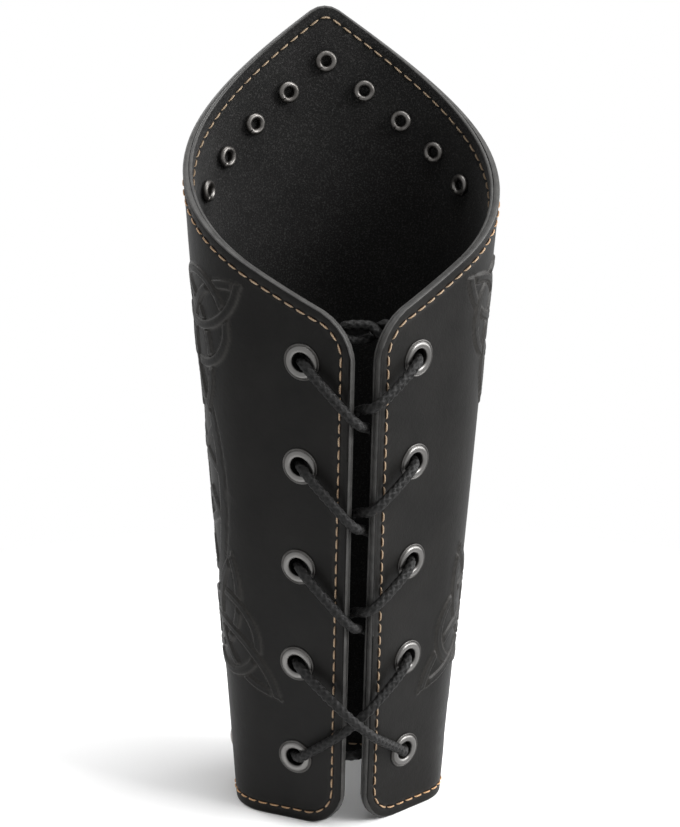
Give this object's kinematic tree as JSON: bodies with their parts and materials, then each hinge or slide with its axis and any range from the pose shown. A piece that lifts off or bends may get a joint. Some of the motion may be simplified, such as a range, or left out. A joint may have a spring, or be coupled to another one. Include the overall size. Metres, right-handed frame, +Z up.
{
  "type": "leather bracer",
  "caption": "Tapered leather forearm guard with a pointed front edge, a lining, domed rivets along both ends and a crossed lace through eyelets at the back.",
  "frame": {"origin": "middle of the part's footprint box, on the surface that its base rests on", "axes": "+Z up along the forearm from the wrist end, -Y towards the pointed front, +Y towards the lacing, +X to the left of someone who looks at the lacing"},
  "size_m": [0.0956, 0.088, 0.25],
  "materials": {
    "outer_leather": "black finished leather, soft sheen, fine grain",
    "suede_lining": "matt black suede",
    "seam_thread": "waxed orange tan thread",
    "lace_cord": "braided and waxed black cord",
    "tip_metal": "dark metal sleeve",
    "cap_metal": "antique nickel, satin",
    "tube_metal": "nickel plated, rolled",
    "eyelet_metal": "gunmetal"
  },
  "bodies": {
    "root": {"outer_leather": "outer_leather", "lining": "suede_lining", "edge_stitching": "seam_thread", "lace": "lace_cord", "lace_tip_left": "tip_metal", "lace_tip_right": "tip_metal", "rivet_cap_top_1": "cap_metal", "rivet_cap_top_2": "cap_metal", "rivet_cap_top_3": "cap_metal", "rivet_cap_top_4": "cap_metal", "rivet_cap_top_5": "cap_metal", "rivet_cap_top_6": "cap_metal", "rivet_cap_top_7": "cap_metal", "rivet_cap_top_8": "cap_metal", "rivet_cap_top_9": "cap_metal", "rivet_tube_top_1": "tube_metal", "rivet_tube_top_2": "tube_metal", "rivet_tube_top_3": "tube_metal", "rivet_tube_top_4": "tube_metal", "rivet_tube_top_5": "tube_metal", "rivet_tube_top_6": "tube_metal", "rivet_tube_top_7": "tube_metal", "rivet_tube_top_8": "tube_metal", "rivet_tube_top_9": "tube_metal", "rivet_cap_low_1": "cap_metal", "rivet_cap_low_2": "cap_metal", "rivet_cap_low_3": "cap_metal", "rivet_cap_low_4": "cap_metal", "rivet_cap_low_5": "cap_metal", "rivet_tube_low_1": "tube_metal", "rivet_tube_low_2": "tube_metal", "rivet_tube_low_3": "tube_metal", "rivet_tube_low_4": "tube_metal", "rivet_tube_low_5": "tube_metal", "eyelet_left_1": "eyelet_metal", "eyelet_left_2": "eyelet_metal", "eyelet_left_3": "eyelet_metal", "eyelet_left_4": "eyelet_metal", "eyelet_left_5": "eyelet_metal", "eyelet_right_1": "eyelet_metal", "eyelet_right_2": "eyelet_metal", "eyelet_right_3": "eyelet_metal", "eyelet_right_4": "eyelet_metal", "eyelet_right_5": "eyelet_metal", "washer_left_1": "eyelet_metal", "washer_left_2": "eyelet_metal", "washer_left_3": "eyelet_metal", "washer_left_4": "eyelet_metal", "washer_left_5": "eyelet_metal", "washer_right_1": "eyelet_metal", "washer_right_2": "eyelet_metal", "washer_right_3": "eyelet_metal", "washer_right_4": "eyelet_metal", "washer_right_5": "eyelet_metal"}
  },
  "joints": []
}
